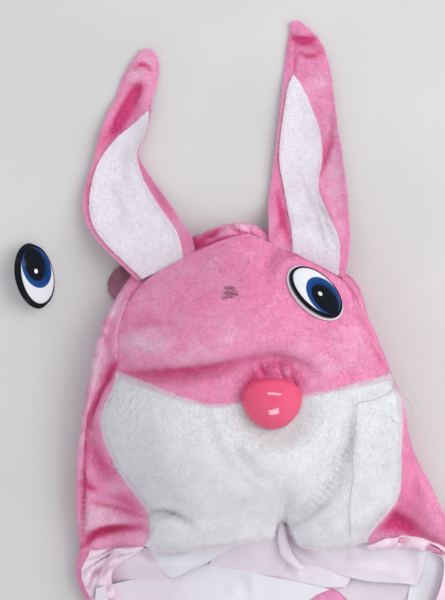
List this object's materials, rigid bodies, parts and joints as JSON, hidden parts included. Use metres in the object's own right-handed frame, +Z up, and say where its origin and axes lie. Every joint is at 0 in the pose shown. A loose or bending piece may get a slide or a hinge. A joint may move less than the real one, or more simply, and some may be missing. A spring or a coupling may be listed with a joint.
{
  "type": "hooded bunny costume",
  "caption": "Child's hooded one-piece rabbit costume lying on its back: padded muzzle hood with long ears, plastic nose and eyes, flat body with sleeves and legs.",
  "frame": {"origin": "on the surface, under the middle of the whole garment's outline", "axes": "+Z up from the surface, +Y from the legs towards the ears, +X towards the garment's side that is on the right in the picture"},
  "size_m": [0.904, 1.364, 0.097],
  "materials": {
    "pink_plush": "short pile velour",
    "white_plush": "short pile plush",
    "lining": "thin smooth weave",
    "nose_plastic": "glossy",
    "eye_plastic": "glossy"
  },
  "bodies": {
    "root": {"hood_back_left": "pink_plush", "hood_back_right": "pink_plush", "forehead": "pink_plush", "muzzle": "white_plush", "ear_left": "pink_plush", "ear_left_white": "white_plush", "ear_right": "pink_plush", "ear_right_white": "white_plush", "nose": "nose_plastic", "eye_right": "eye_plastic", "eye_left_loose": "eye_plastic", "lining_back": "lining", "lining_left": "lining", "lining_right": "lining", "back_left": "pink_plush", "back_right": "pink_plush", "front_left": "pink_plush", "front_right": "pink_plush", "front_placket": "pink_plush", "sleeve_left": "pink_plush", "sleeve_right": "pink_plush"}
  },
  "joints": []
}
